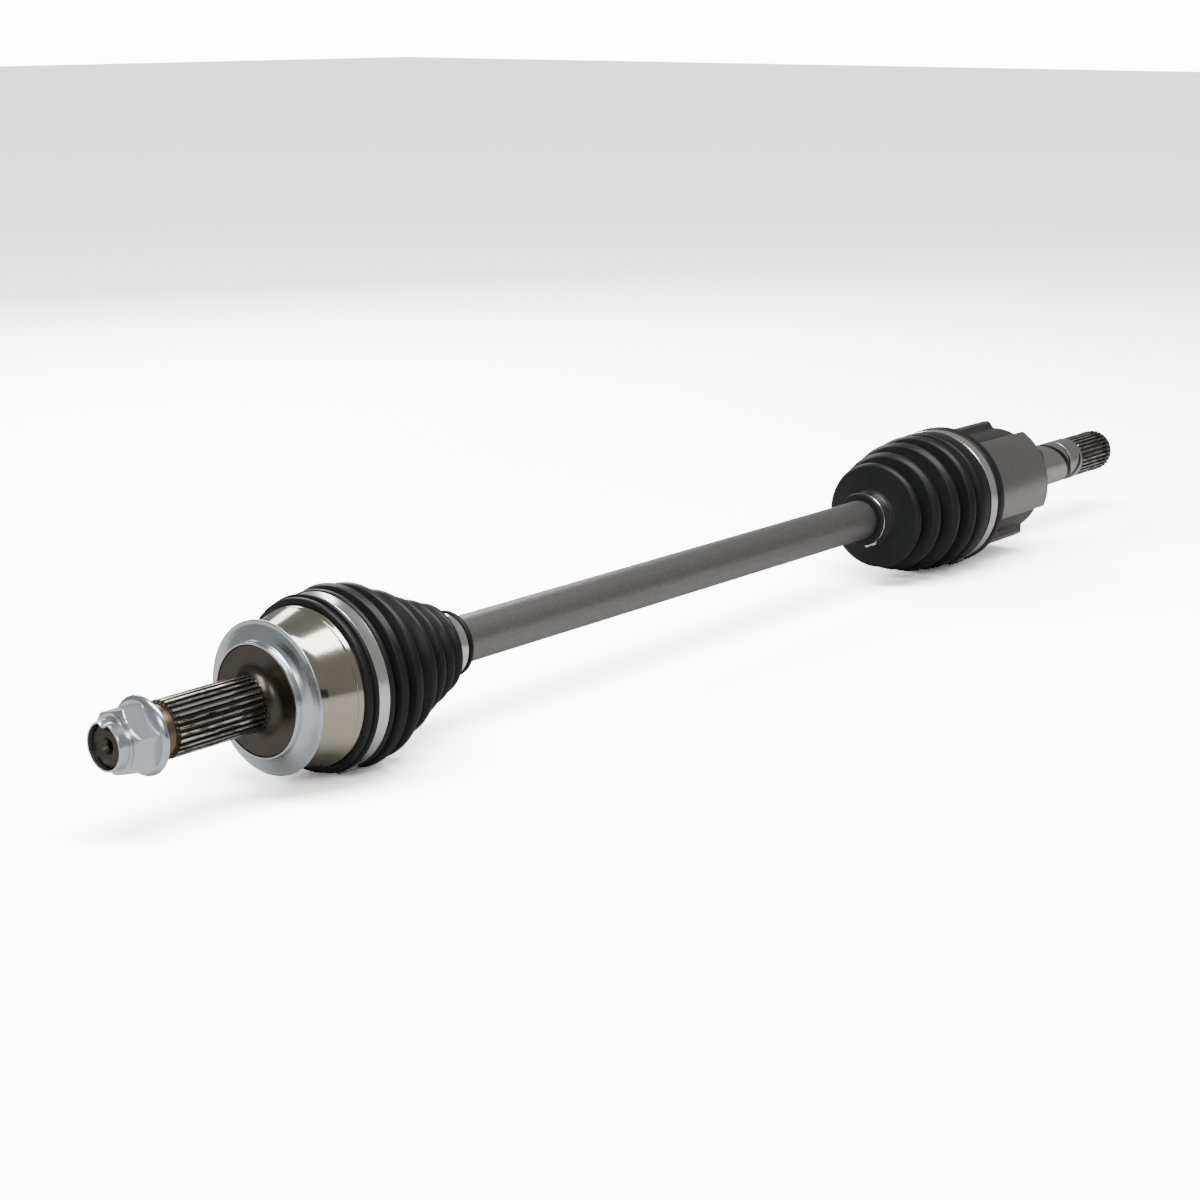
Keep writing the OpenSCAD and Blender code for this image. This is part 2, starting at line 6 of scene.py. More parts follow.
import bmesh
import bpy
from bpy.props import FloatProperty, FloatVectorProperty, IntProperty, PointerProperty
from mathutils import Euler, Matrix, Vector


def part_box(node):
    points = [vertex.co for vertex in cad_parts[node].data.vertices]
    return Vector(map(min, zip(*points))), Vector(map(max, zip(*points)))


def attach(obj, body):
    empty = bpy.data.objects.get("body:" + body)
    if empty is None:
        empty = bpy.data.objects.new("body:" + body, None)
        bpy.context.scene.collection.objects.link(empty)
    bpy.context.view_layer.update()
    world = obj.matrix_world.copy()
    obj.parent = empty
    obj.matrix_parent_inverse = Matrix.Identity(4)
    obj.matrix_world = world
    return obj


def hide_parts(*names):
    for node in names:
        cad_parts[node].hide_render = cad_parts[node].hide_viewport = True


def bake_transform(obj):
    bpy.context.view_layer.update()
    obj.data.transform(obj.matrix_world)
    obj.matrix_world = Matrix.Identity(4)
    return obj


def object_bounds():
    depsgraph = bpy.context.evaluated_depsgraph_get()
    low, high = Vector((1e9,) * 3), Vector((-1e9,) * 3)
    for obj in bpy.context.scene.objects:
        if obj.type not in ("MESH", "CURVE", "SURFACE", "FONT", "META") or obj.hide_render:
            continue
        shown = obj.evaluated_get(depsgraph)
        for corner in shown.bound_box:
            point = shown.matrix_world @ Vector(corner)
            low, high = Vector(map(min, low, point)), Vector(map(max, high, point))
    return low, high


bl_info = {
    "name": "Half shaft",
    "version": (1, 0, 0),
    "blender": (4, 5, 0),
    "location": "View3D > Sidebar > Half shaft",
    "description": "Models the pieces and finishes of a front-wheel-drive half shaft",
    "category": "Object",
}

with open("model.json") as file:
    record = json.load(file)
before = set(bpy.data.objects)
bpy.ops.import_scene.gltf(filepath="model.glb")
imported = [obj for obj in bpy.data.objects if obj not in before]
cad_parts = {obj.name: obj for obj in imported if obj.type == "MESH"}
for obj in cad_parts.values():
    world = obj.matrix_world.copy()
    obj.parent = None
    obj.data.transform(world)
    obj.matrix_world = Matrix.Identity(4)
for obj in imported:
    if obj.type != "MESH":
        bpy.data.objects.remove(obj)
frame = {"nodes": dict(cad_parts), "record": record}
CAD_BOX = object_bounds()
MM = 0.001

# Stations along the axle, in millimetres from the hub's seat face
STUB_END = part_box("outer_race")[0][0] / MM
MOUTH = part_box("outer_race")[1][0] / MM
BELL_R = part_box("outer_race")[1][1] / MM
NUT_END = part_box("axle_nut")[0][0] / MM
NUT_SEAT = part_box("axle_nut")[1][0] / MM
WHEEL_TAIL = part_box("wheel_boot")[1][0] / MM
GEAR_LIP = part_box("gearbox_boot")[1][0] / MM
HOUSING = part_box("tripod_housing")[0][0] / MM
AXLE_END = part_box("tripod_housing")[1][0] / MM
BAR = [corner[0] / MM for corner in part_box("axle_bar")]
BAR_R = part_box("axle_bar")[1][1] / MM

# Radii over the tripod housing's lobes and over its bearing journal
LOBE_R = 42.5
JOURNAL_R = 15.2

# Where each boot starts or ends past its packed clamp seat
WHEEL_LIP = 33.0
GEAR_TAIL = 533.4

# Where each boot's bending would pass from one joint to the next, in metres, from
# the neck to the mouth; the boots are built straight and nothing reads these
WHEEL_BENDS = (0.1265, 0.1045, 0.078, 0.0576, 0.049)
GEARBOX_BENDS = (0.549, 0.5706, 0.585, 0.617)


# ---------------------------------------------------------------- sizes

class HalfShaftSizes(bpy.types.PropertyGroup):
    """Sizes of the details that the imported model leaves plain"""

    hub_spline_r: FloatProperty(name="Hub spline radius", default=14.6,
                                description="Radius over the hub spline teeth, in mm")
    hub_root_r: FloatProperty(name="Hub spline root", default=13.3,
                              description="Radius at the root of the hub spline teeth, in mm")
    hub_teeth: IntProperty(name="Hub teeth", default=28,
                           description="Number of hub spline teeth")
    gear_teeth: IntProperty(name="Gearbox teeth", default=30,
                            description="Number of gearbox spline teeth")
    boot_wall: FloatProperty(name="Boot wall", default=2.0,
                             description="Rubber thickness of the boots, in mm")
    groove_depth: FloatProperty(name="Oil groove depth", default=0.7,
                                description="Depth of the helical oil grooves, in mm")
    groove_pitch: FloatProperty(name="Oil groove lead", default=58.0,
                                description="Axial lead of the helical oil grooves, in mm")
    valley_r: FloatProperty(name="Housing valley radius", default=37.2,
                            description="Radius at the bottom of the housing's valleys, in mm")
    round_steps: IntProperty(name="Round steps", default=144,
                             description="Facets round a turned piece")


class HalfShaftColours(bpy.types.PropertyGroup):
    """Base colours of the finishes"""

    bell: FloatVectorProperty(name="Turned steel", subtype="COLOR", size=3,
                              default=(0.46, 0.43, 0.36),
                              description="The turned and oiled bell")
    zinc: FloatVectorProperty(name="Zinc plate", subtype="COLOR", size=3,
                              default=(0.66, 0.69, 0.71),
                              description="The nut and the dust ring")
    dark: FloatVectorProperty(name="Dark steel", subtype="COLOR", size=3,
                              default=(0.075, 0.066, 0.056),
                              description="The splines and the shoulder")
    bar: FloatVectorProperty(name="Bar steel", subtype="COLOR", size=3,
                             default=(0.21, 0.205, 0.195),
                             description="The satin bar")
    forged: FloatVectorProperty(name="Forged steel", subtype="COLOR", size=3,
                                default=(0.11, 0.107, 0.103),
                                description="The tripod housing's valleys")
    lobe: FloatVectorProperty(name="Turned lobe", subtype="COLOR", size=3,
                              default=(0.34, 0.33, 0.315),
                              description="The tripod housing's turned lobes")
    rubber: FloatVectorProperty(name="Rubber", subtype="COLOR", size=3,
                                default=(0.0065, 0.0065, 0.007),
                                description="The boots")
    clamp: FloatVectorProperty(name="Stainless", subtype="COLOR", size=3,
                               default=(0.78, 0.755, 0.71),
                               description="The clamps' bands")


def sizes():
    return bpy.context.scene.half_shaft_sizes


def colours():
    return bpy.context.scene.half_shaft_colours


# ---------------------------------------------------------------- effects

def new_group(name, inputs, outputs):
    """A shader node group with float inputs, and its two end nodes"""
    tree = bpy.data.node_groups.new(name, "ShaderNodeTree")
    for label, value in inputs:
        socket = tree.interface.new_socket(name=label, in_out="INPUT",
                                           socket_type="NodeSocketFloat")
        socket.default_value = value
    for label in outputs:
        tree.interface.new_socket(name=label, in_out="OUTPUT", socket_type="NodeSocketFloat")
    return tree, tree.nodes.new("NodeGroupInput"), tree.nodes.new("NodeGroupOutput")


def math_node(tree, operation, first, second=None, clamp=False):
    node = tree.nodes.new("ShaderNodeMath")
    node.operation = operation
    node.use_clamp = clamp
    for socket, value in zip(node.inputs, (first, second)):
        if isinstance(value, (int, float)):
            socket.default_value = value
        elif value is not None:
            tree.links.new(value, socket)
    return node.outputs[0]


def axle_radius(tree):
    """Distance of a point from the axle's axis, and its place along it"""
    place = tree.nodes.new("ShaderNodeTexCoord").outputs["Object"]
    split = tree.nodes.new("ShaderNodeSeparateXYZ")
    tree.links.new(place, split.inputs[0])
    squares = [math_node(tree, "MULTIPLY", split.outputs[i], split.outputs[i]) for i in (1, 2)]
    return (math_node(tree, "SQRT", math_node(tree, "ADD", *squares)), split.outputs[0], place)


def noise_value(tree, vector, scale, detail=3.0):
    node = tree.nodes.new("ShaderNodeTexNoise")
    node.inputs["Detail"].default_value = detail
    if isinstance(scale, (int, float)):
        node.inputs["Scale"].default_value = scale
    else:
        tree.links.new(scale, node.inputs["Scale"])
    tree.links.new(vector, node.inputs["Vector"])
    return node.outputs["Fac"]


def smooth_between(tree, value, low, high):
    node = tree.nodes.new("ShaderNodeMapRange")
    node.interpolation_type = "SMOOTHSTEP"
    for socket, source in zip(("Value", "From Min", "From Max"), (value, low, high)):
        if isinstance(source, (int, float)):
            node.inputs[socket].default_value = source
        else:
            tree.links.new(source, node.inputs[socket])
    return node.outputs[0]


def turning_group():
    """Fine rings left by a lathe, on cylinders and on end faces alike"""
    tree, start, end = new_group("Turning marks", [("Density", 900.0)], ["Height", "Tone"])
    radius, along, _ = axle_radius(tree)
    join = tree.nodes.new("ShaderNodeCombineXYZ")
    tree.links.new(along, join.inputs[0])
    tree.links.new(radius, join.inputs[1])
    tree.links.new(noise_value(tree, join.outputs[0], start.outputs["Density"], 4.0),
                   end.inputs["Height"])
    tree.links.new(noise_value(tree, join.outputs[0], 120.0, 2.0), end.inputs["Tone"])
    return tree


def mottle_group():
    """Broad and fine patches, for rolled, plated or phosphated metal"""
    tree, start, end = new_group("Mottle", [("Broad", 60.0), ("Fine", 600.0)],
                                 ["Patches", "Grain"])
    place = tree.nodes.new("ShaderNodeTexCoord").outputs["Object"]
    tree.links.new(noise_value(tree, place, start.outputs["Broad"], 5.0), end.inputs["Patches"])
    tree.links.new(noise_value(tree, place, start.outputs["Fine"], 3.0), end.inputs["Grain"])
    return tree


def worn_group():
    """Bright wear on whatever stands further than a radius from the axis"""
    tree, start, end = new_group("Worn ridges", [("From", 0.0141), ("To", 0.0146),
                                                 ("Patchy", 1.0)], ["Wear"])
    radius, along, place = axle_radius(tree)
    ridge = smooth_between(tree, radius, start.outputs["From"], start.outputs["To"])
    stretch = tree.nodes.new("ShaderNodeMapping")
    stretch.inputs["Scale"].default_value = (0.22, 1.0, 1.0)
    tree.links.new(place, stretch.inputs["Vector"])
    gaps = math_node(tree, "SUBTRACT", 1.0, smooth_between(
        tree, noise_value(tree, stretch.outputs[0], 520.0, 3.0), 0.34, 0.6))
    kept = math_node(tree, "SUBTRACT", 1.0,
                     math_node(tree, "MULTIPLY", gaps, start.outputs["Patchy"]))
    tree.links.new(math_node(tree, "MULTIPLY", ridge, kept), end.inputs["Wear"])
    return tree


def dust_group():
    """Sparse pale specks"""
    tree, start, end = new_group("Dust", [("Amount", 0.66), ("Scale", 900.0)], ["Specks"])
    place = tree.nodes.new("ShaderNodeTexCoord").outputs["Object"]
    speck = noise_value(tree, place, start.outputs["Scale"], 2.0)
    high = math_node(tree, "ADD", start.outputs["Amount"], 0.1)
    tree.links.new(smooth_between(tree, speck, start.outputs["Amount"], high),
                   end.inputs["Specks"])
    return tree


def use_group(material, name, **values):
    maker = {"Turning marks": turning_group, "Mottle": mottle_group,
             "Worn ridges": worn_group, "Dust": dust_group}[name]
    node = material.node_tree.nodes.new("ShaderNodeGroup")
    node.node_tree = bpy.data.node_groups.get(name) or maker()
    for label, value in values.items():
        node.inputs[label].default_value = value
    return node.outputs


def mix(material, mask, first, second):
    """Mixes two colours by a mask and returns the colour"""
    tree = material.node_tree
    node = tree.nodes.new("ShaderNodeMix")
    node.data_type = "RGBA"
    tree.links.new(mask, node.inputs[0])
    for socket, value in zip((node.inputs[6], node.inputs[7]), (first, second)):
        if isinstance(value, bpy.types.NodeSocket):
            tree.links.new(value, socket)
        else:
            socket.default_value = (*value, 1.0)
    return node.outputs[2]


def ramp(material, mask, low, high):
    """Turns a mask into a value between low and high"""
    node = material.node_tree.nodes.new("ShaderNodeMapRange")
    node.inputs["To Min"].default_value = low
    node.inputs["To Max"].default_value = high
    material.node_tree.links.new(mask, node.inputs["Value"])
    return node.outputs[0]


def bump(material, height, strength, distance=0.0001):
    node = material.node_tree.nodes.new("ShaderNodeBump")
    node.inputs["Strength"].default_value = strength
    node.inputs["Distance"].default_value = distance
    links = material.node_tree.links
    links.new(height, node.inputs["Height"])
    links.new(node.outputs[0], surface(material).inputs["Normal"])


def surface(material):
    return material.node_tree.nodes["Principled BSDF"]


def feed(material, socket, value):
    material.node_tree.links.new(value, surface(material).inputs[socket])


def new_material(name, metallic):
    material = bpy.data.materials.new(name)
    material.use_nodes = True
    surface(material).inputs["Metallic"].default_value = metallic
    return material


def shade(colour, factor):
    return tuple(min(1.0, channel * factor) for channel in colour)


# ---------------------------------------------------------------- finishes

def turned_steel(name, colour, rough, density=900.0, strength=0.12):
    """Lathe-turned steel with fine rings"""
    material = new_material(name, 1.0)
    marks = use_group(material, "Turning marks", Density=density)
    patches = use_group(material, "Mottle", Broad=35.0, Fine=500.0)
    rings = mix(material, marks["Tone"], shade(colour, 0.88), shade(colour, 1.06))
    feed(material, "Base Color", mix(material, ramp(material, patches["Patches"], -0.6, 1.1),
                                     rings, shade(colour, 0.94)))
    feed(material, "Roughness", ramp(material, patches["Patches"], rough * 0.8, rough * 1.25))
    bump(material, marks["Height"], strength)
    return material


def dark_worn_steel(name, colour, worn, from_r, to_r, rough=0.42):
    """Dark oily steel, bright where its ridges are rubbed"""
    material = new_material(name, 1.0)
    patches = use_group(material, "Mottle", Broad=160.0, Fine=1300.0)
    wear = use_group(material, "Worn ridges", From=from_r * MM, To=to_r * MM)["Wear"]
    base = mix(material, patches["Patches"], shade(colour, 0.6), shade(colour, 1.5))
    feed(material, "Base Color", mix(material, wear, base, worn))
    feed(material, "Roughness", ramp(material, wear, rough, 0.24))
    bump(material, patches["Grain"], 0.25)
    return material


def plated(name, colour):
    """Zinc plate, a little cloudy"""
    material = new_material(name, 1.0)
    patches = use_group(material, "Mottle", Broad=45.0, Fine=900.0)
    cloud = mix(material, patches["Patches"], shade(colour, 0.88),
                (colour[0] * 1.02, colour[1] * 1.05, min(1, colour[2] * 1.08)))
    feed(material, "Base Color", cloud)
    feed(material, "Roughness", ramp(material, patches["Patches"], 0.15, 0.3))
    bump(material, patches["Grain"], 0.08)
    return material


def satin_bar(name, colour):
    """Phosphated bar, satin with small dark and pale patches"""
    material = new_material(name, 0.85)
    patches = use_group(material, "Mottle", Broad=520.0, Fine=2400.0)
    base = mix(material, ramp(material, patches["Patches"], -0.3, 1.3),
               shade(colour, 0.78), shade(colour, 1.15))
    feed(material, "Base Color", mix(material, ramp(material, patches["Grain"], -0.2, 0.6),
                                     base, shade(colour, 1.15)))
    feed(material, "Roughness", ramp(material, patches["Grain"], 0.3, 0.52))
    bump(material, patches["Grain"], 0.3)
    return material


def lobed_steel(name, lobe, forged):
    """Forged steel whose outermost lobes are turned bright"""
    material = new_material(name, 1.0)
    marks = use_group(material, "Turning marks", Density=700.0)
    patches = use_group(material, "Mottle", Broad=90.0, Fine=1100.0)
    wear = use_group(material, "Worn ridges", From=0.0402, To=0.0422, Patchy=0.0)["Wear"]
    rough_skin = mix(material, patches["Patches"], shade(forged, 0.7), shade(forged, 1.2))
    bright = mix(material, marks["Tone"], shade(lobe, 0.94), shade(lobe, 1.06))
    feed(material, "Base Color", mix(material, wear, rough_skin, bright))
    feed(material, "Roughness", ramp(material, wear, 0.44, 0.31))
    bump(material, patches["Grain"], 0.1)
    return material


def journal_steel(name, colour):
    """Ground steel, near-black in its oil grooves"""
    material = new_material(name, 1.0)
    marks = use_group(material, "Turning marks", Density=1100.0)
    patches = use_group(material, "Mottle", Broad=60.0, Fine=1500.0)
    top = use_group(material, "Worn ridges", From=0.01478, To=0.01512, Patchy=0.0)["Wear"]
    ground = mix(material, marks["Tone"], shade(colour, 0.9), shade(colour, 1.08))
    # Faces below the journal's top radius, in the grooves, are coloured near-black
    feed(material, "Base Color", mix(material, top, (0.05, 0.045, 0.038), ground))
    feed(material, "Roughness", ramp(material, patches["Patches"], 0.2, 0.36))
    bump(material, marks["Height"], 0.08)
    return material


def moulded_rubber(name, colour):
    """Satin moulded rubber with a fine grain and a little dust"""
    material = new_material(name, 0.0)
    patches = use_group(material, "Mottle", Broad=70.0, Fine=1600.0)
    specks = use_group(material, "Dust", Amount=0.70, Scale=1100.0)["Specks"]
    base = mix(material, patches["Patches"], shade(colour, 0.8), shade(colour, 1.35))
    feed(material, "Base Color", mix(material, ramp(material, specks, 0.0, 0.5), base,
                                     (0.07, 0.07, 0.07)))
    feed(material, "Roughness", ramp(material, patches["Patches"], 0.36, 0.5))
    surface(material).inputs["Specular IOR Level"].default_value = 0.34
    bump(material, patches["Grain"], 0.12)
    return material


def polished(name, colour, rough):
    """Ground and polished hard steel"""
    material = new_material(name, 1.0)
    patches = use_group(material, "Mottle", Broad=120.0, Fine=2000.0)
    feed(material, "Base Color", mix(material, patches["Patches"], shade(colour, 0.9),
                                     shade(colour, 1.08)))
    feed(material, "Roughness", ramp(material, patches["Patches"], rough * 0.8, rough * 1.4))
    bump(material, patches["Grain"], 0.03)
    return material


def finish(name):
    """A finish by name, built the first time that it is asked for"""
    made = bpy.data.materials.get(name)
    if made:
        return made
    c = colours()
    makers = {
        "turned bell steel": lambda n: turned_steel(n, c.bell, 0.13),
        "tan shank steel": lambda n: turned_steel(n, (0.2, 0.15, 0.1), 0.34),
        "dark shoulder steel": lambda n: turned_steel(n, shade(c.dark, 1.15), 0.33, 500.0, 0.3),
        "worn spline steel": lambda n: dark_worn_steel(
            n, shade(c.dark, 0.6), (0.55, 0.52, 0.47), 14.2, 14.6),
        "dark stub steel": lambda n: dark_worn_steel(
            n, shade(c.dark, 0.9), (0.4, 0.37, 0.33), 20.0, 21.0),
        "gearbox spline steel": lambda n: dark_worn_steel(
            n, shade(c.dark, 1.5), (0.5, 0.49, 0.47), 14.45, 14.85),
        "zinc plate": lambda n: plated(n, c.zinc),
        "satin bar steel": lambda n: satin_bar(n, c.bar),
        "lobed housing steel": lambda n: lobed_steel(n, c.lobe, c.forged),
        "journal steel": lambda n: journal_steel(n, (0.5, 0.49, 0.475)),
        "boot rubber": lambda n: moulded_rubber(n, c.rubber),
        "stainless band": lambda n: polished(n, c.clamp, 0.2),
        "black oxide": lambda n: dark_worn_steel(
            n, (0.05, 0.05, 0.052), (0.2, 0.2, 0.2), 90.0, 91.0, 0.38),
        "hardened steel": lambda n: polished(n, (0.72, 0.72, 0.73), 0.08),
        "ground race steel": lambda n: turned_steel(n, (0.5, 0.49, 0.48), 0.24),
    }
    return makers[name](name)


# ---------------------------------------------------------------- modelling

def soften(outline, reach, steps=4):
    """Rounds every corner of an outline, by a curve that starts and ends up to
    reach from the corner"""
    out = [outline[0]]
    for before, corner, after in zip(outline, outline[1:], outline[2:]):
        before, corner, after = Vector(before), Vector(corner), Vector(after)
        back, on = before - corner, after - corner
        start = corner + back * min(0.45, reach / max(back.length, 1e-6))
        end = corner + on * min(0.45, reach / max(on.length, 1e-6))
        for i in range(steps + 1):
            t = i / steps
            out.append(tuple(start * (1 - t) ** 2 + corner * 2 * t * (1 - t) + end * t ** 2))
    return out + [outline[-1]]


def revolve(name, outline, finishes, steps=None, form=None, closed=True):
    """Turns an outline of (along, radius) millimetre points about the axle.
    finishes is a list of (place along the axle, finish): a face takes the
    first one whose place it lies before. form(along, radius, angle) may give
    each point its own radius. A closed outline makes a ring, an open one starts
    and ends on the axis."""
    steps = steps or sizes().round_steps
    mesh = bpy.data.meshes.new(name)
    shape = bmesh.new()
    rings = []
    for along, radius in outline:
        if radius < 1e-6:
            rings.append([shape.verts.new((along * MM, 0, 0))])
            continue
        ring = []
        for i in range(steps):
            angle = 2 * math.pi * i / steps
            r = form(along, radius, angle) if form else radius
            ring.append(shape.verts.new((along * MM, r * MM * math.cos(angle),
                                         r * MM * math.sin(angle))))
        rings.append(ring)
    pairs = list(zip(rings, rings[1:]))
    if closed:
        pairs.append((rings[-1], rings[0]))
    for first, second in pairs:
        for i in range(steps):
            j = (i + 1) % steps
            if len(first) == 1:
                shape.faces.new((first[0], second[j], second[i]))
            elif len(second) == 1:
                shape.faces.new((first[i], first[j], second[0]))
            else:
                shape.faces.new((first[i], first[j], second[j], second[i]))
    bmesh.ops.recalc_face_normals(shape, faces=shape.faces[:])
    for face in shape.faces:
        face.smooth = True
        middle = face.calc_center_median().x / MM
        face.material_index = next(
            (i for i, (limit, _) in enumerate(finishes) if middle < limit), len(finishes) - 1)
    shape.to_mesh(mesh)
    shape.free()
    piece = bpy.data.objects.new(name, mesh)
    bpy.context.scene.collection.objects.link(piece)
    for _, finish_name in finishes:
        mesh.materials.append(finish(finish_name))
    crease(piece)
    return piece


def crease(piece, angle=32.0):
    """Smooth shading with crisp edges"""
    bpy.ops.object.select_all(action="DESELECT")
    piece.select_set(True)
    bpy.context.view_layer.objects.active = piece
    bpy.ops.object.shade_smooth_by_angle(angle=math.radians(angle))
    piece.select_set(False)


def settle(piece, body, slot, *nodes):
    """Rides a finished piece on its body and hides the nodes that it stands for"""
    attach(piece, body)
    if nodes:
        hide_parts(*nodes)


def tooth(angle, teeth):
    """Height of a spline tooth, 0 at its root and 1 on its top"""
    phase = abs((angle * teeth / (2 * math.pi)) % 1.0 - 0.5) * 2
    return min(1.0, max(0.0, (phase - 0.36) / 0.26))


def spaced(start, end, radius, count):
    return [(start + (end - start) * i / count, radius) for i in range(count + 1)]


def quarter(centre_x, centre_r, radius, start, end, steps=8):
    """Points on an arc, angles in degrees"""
    return [(centre_x + radius * math.cos(math.radians(start + (end - start) * i / steps)),
             centre_r + radius * math.sin(math.radians(start + (end - start) * i / steps)))
            for i in range(steps + 1)]


# ---------------------------------------------------------------- pieces

class HALFSHAFT_OT_bell(bpy.types.Operator):
    """Models the wheel joint's bell with its shoulder, hub splines and stub"""

    bl_idname = "half_shaft.bell"
    bl_label = "Bell and hub stub"

    def execute(self, context):
        s = sizes()
        spline_start, spline_end, shank_r = NUT_SEAT + 9.4, -6.0, 12.8

        def form(along, radius, angle):
            if spline_start <= along <= spline_end + 1.5 and radius > shank_r:
                lift = min(1.0, (along - spline_start) / 1.6,
                           max(0.0, (spline_end + 1.4 - along) / 2.6))
                return max(radius, s.hub_root_r
                           + (s.hub_spline_r - s.hub_root_r) * tooth(angle, s.hub_teeth) * lift)
            top = abs(angle - math.pi / 2) * radius
            if along < STUB_END + 10 and radius > 7.5 and top < 3.2:
                return radius - 2.6 * (1 - (top / 3.2) ** 4)
            return radius

        outline = [(STUB_END + 8, 0), (STUB_END + 8, 2.4), (STUB_END + 2, 2.4),
                   (STUB_END, 4.3), (STUB_END, 7.6), (STUB_END, 9.6), (STUB_END + 1.3, 10.95),
                   (STUB_END + 10, 10.95), (NUT_SEAT + 0.3, 10.95), (NUT_SEAT + 0.5, 12.5),
                   (NUT_SEAT + 1, shank_r), (spline_start - 0.02, shank_r)]
        outline += [(spline_start, s.hub_root_r), (spline_start + 0.8, s.hub_root_r),
                    (spline_start + 1.6, s.hub_root_r), (-40, s.hub_root_r),
                    (-20, s.hub_root_r), (spline_end - 1.2, s.hub_root_r),
                    (spline_end - 0.4, s.hub_root_r), (spline_end + 0.4, s.hub_root_r + 0.1)]
        outline += quarter(spline_end + 0.4, 19.7, 5.6, -86, 0, 10)
        outline += [(0, 22), (0, 27.8), (0.6, 28.4), (7.6, 28.4)]
        outline += [(8.6, 30.2), (9.4, 31.4), (10.4, 32.6), (11.6, 33.7), (12.9, 34.6),
                    (14.2, 35.3), (15.5, 35.85)]
        outline += [(29.6, 40.85), (29.9, 40.6), (30.2, 41.1), (30.6, 41.3),
                    (35.6, 42.1), (37.4, BELL_R),
                    (MOUTH - 0.9, BELL_R), (MOUTH, BELL_R - 0.9), (MOUTH, 37.2),
                    (40, 36.7), (26, 35.3), (17.5, 30.4), (12, 19), (8.5, 8), (7.4, 0)]
        piece = revolve("bell_and_stub", outline,
                        [(STUB_END + 3, "dark stub steel"), (spline_start, "tan shank steel"),
                         (spline_end + 0.6, "worn spline steel"), (3.4, "dark shoulder steel"),
                         (999, "turned bell steel")],
                        steps=s.hub_teeth * 14, form=form, closed=False)
        settle(piece, "wheel_bell", "machined_steel", "outer_race")
        return {"FINISHED"}


class HALFSHAFT_OT_nut(bpy.types.Operator):
    """Models the flanged axle nut, with its collar staked into the stub"""

    bl_idname = "half_shaft.nut"
    bl_label = "Axle nut"

    def execute(self, context):
        flange = NUT_SEAT - 3.1
        hexagon = flange - 14
        half_flat = 15.0

        def form(along, radius, angle):
            if hexagon < along < flange and radius > 13:
                turn = (angle + math.radians(15)) % (math.pi / 3) - math.pi / 6
                return min(radius, half_flat / math.cos(turn))
            top = abs(angle - math.pi / 2) * radius
            if along < hexagon - 0.6 and top < 3.4:
                return radius - 2.0 * (1 - (top / 3.4) ** 2) * min(1, (hexagon - along) / 4)
            return radius

        outline = [(NUT_END, 11.2), (NUT_END, 12.0), (NUT_END + 0.4, 12.3),
                   (NUT_END + 3, 12.3), (hexagon - 0.7, 12.4), (hexagon - 0.1, 12.9),
                   (hexagon, 13.4), (hexagon + 0.05, 14.5)]
        outline += [(hexagon + 0.4 * i, 14.6 + 0.46 * i) for i in range(7)]
        outline += [(hexagon + 3, 17.6), (flange - 1.2, 17.6), (flange - 0.05, 17.6)]
        outline += [(flange, 17.6), (flange + 0.9, 18.9), (flange + 1.8, 19.5),
                    (NUT_SEAT - 0.5, 19.6), (NUT_SEAT, 19.2), (NUT_SEAT, 11.1)]
        piece = revolve("axle_nut_body", outline, [(999, "zinc plate")], steps=240, form=form)
        settle(piece, "wheel_bell", "zinc_plate", "axle_nut")
        return {"FINISHED"}


class HALFSHAFT_OT_dust_ring(bpy.types.Operator):
    """Models the dust ring pressed on the bell's shoulder"""

    bl_idname = "half_shaft.dust_ring"
    bl_label = "Dust ring"

    def execute(self, context):
        front = soften([(-0.3, 28.5), (-0.3, 29.6), (3.0, 29.8), (4.6, 32.0), (5.6, 34.6),
                        (6.3, 37.4), (6.4, 39.5), (7.5, 39.5), (7.4, 37.2), (6.7, 34.2),
                        (5.9, 32.2), (4.7, 29.4), (4.2, 28.5)], 0.5)
        piece = revolve("dust_ring_pressing", front, [(999, "zinc plate")])
        settle(piece, "wheel_bell", "zinc_plate", "dust_ring")
        return {"FINISHED"}


def boot_section(name, outer, reach, wall, inner=None):
    """One stretch of a boot: its folded outside and the same folds inside"""
    outside = soften(outer, reach)
    inside = inner or [(x, r - wall) for x, r in outside]
    return revolve(name, outside + inside[::-1], [(9999, "boot rubber")])


WHEEL_FOLDS = [(49.4, 46.8), (52.4, 41.5), (54.4, 47.2), (57.6, 48.2), (62.0, 37.0),
               (66.6, 46.0), (69.6, 46.6), (78.0, 31.0), (84.6, 39.2), (87.2, 39.4),
               (93.0, 26.2), (98.0, 33.0), (100.2, 33.2), (104.5, 23.6), (109.2, 29.0),
               (111.2, 29.2), (115.5, 20.6), (119.6, 25.2), (121.4, 25.4), (126.0, 16.9)]
GEARBOX_FOLDS = [(547.2, 18.2), (548.6, 26.5), (549.8, 33.4), (551.6, 35.4), (554.4, 34.8),
                 (563.0, 26.5), (564.8, 37.4), (567.4, 40.0), (570.6, 39.6), (580.0, 31.0),
                 (582.4, 42.0), (585.0, 44.2), (588.4, 43.8), (598.0, 33.0), (600.0, 44.6),
                 (602.4, 46.4), (605.2, 46.2), (611.0, 39.5), (613.0, 46.0), (617.0, 46.6)]


def between(folds, low, high):
    return [point for point in folds if low <= point[0] <= high]


